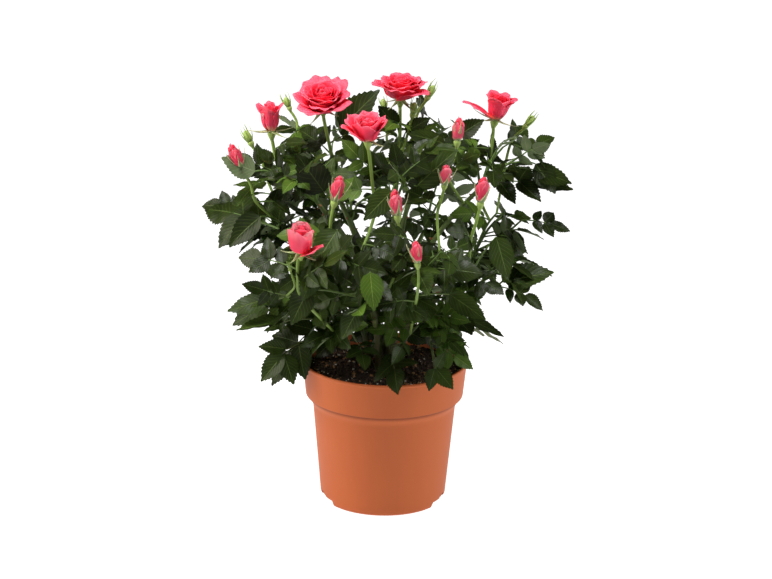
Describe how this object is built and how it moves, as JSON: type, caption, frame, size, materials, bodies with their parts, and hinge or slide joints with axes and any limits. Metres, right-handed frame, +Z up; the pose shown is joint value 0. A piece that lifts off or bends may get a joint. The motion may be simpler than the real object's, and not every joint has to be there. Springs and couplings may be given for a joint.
{
  "type": "potted rose bush",
  "caption": "Compact rose bush in full bloom, rising on forking canes from a round tapered plastic pot: tiers of leafy masses with open cupped flowers standing above them.",
  "frame": {"origin": "on the pot's axis, at the plane the pot stands on", "axes": "+Z up along the pot's axis; +X to the right and +Y to the back as seen from the plant's front, so -Y is the front; the pot's two drainage notches face +X and -X"},
  "size_m": [0.2673, 0.2212, 0.3167],
  "materials": {
    "pot": "satin",
    "soil": "matte",
    "cane": "satin",
    "leaf": "satin",
    "petal": "satin"
  },
  "bodies": {
    "root": {"pot": "pot", "soil": "soil", "cane_inner_1": "cane", "cane_inner_2": "cane", "cane_inner_3": "cane", "cane_inner_4": "cane", "cane_inner_5": "cane", "cane_outer_1": "cane", "cane_outer_2": "cane", "cane_outer_3": "cane", "cane_outer_4": "cane", "cane_outer_5": "cane", "cane_outer_6": "cane", "bough_1": "cane", "bough_2": "cane", "bough_3": "cane", "bough_4": "cane", "bough_5": "cane", "bough_6": "cane", "foliage_shoulder_1": "leaf", "foliage_shoulder_2": "leaf", "foliage_shoulder_3": "leaf", "foliage_shoulder_4": "leaf", "foliage_shoulder_5": "leaf", "foliage_shoulder_6": "leaf", "foliage_skirt_1": "leaf", "foliage_skirt_2": "leaf", "foliage_skirt_3": "leaf", "foliage_skirt_4": "leaf", "foliage_skirt_5": "leaf", "foliage_top_1": "leaf", "foliage_top_2": "leaf", "foliage_top_3": "leaf", "foliage_top_4": "leaf", "foliage_top_5": "leaf", "foliage_waist_1": "leaf", "foliage_waist_2": "leaf", "foliage_waist_3": "leaf", "foliage_waist_4": "leaf", "foliage_waist_5": "leaf", "foliage_waist_6": "leaf", "spray_back_left": "leaf", "spray_back_right": "leaf", "spray_front_foot": "leaf", "spray_front_left": "leaf", "spray_left_foot": "leaf", "spray_left_high": "leaf", "spray_left_low": "leaf", "spray_right_high": "leaf", "spray_right_low": "leaf", "spray_right_middle": "leaf", "flower_cup_front": "petal", "flower_full_left": "petal", "flower_full_right": "petal", "flower_half_middle": "petal", "flower_half_right": "petal", "flower_tall_left": "petal"}
  },
  "joints": []
}
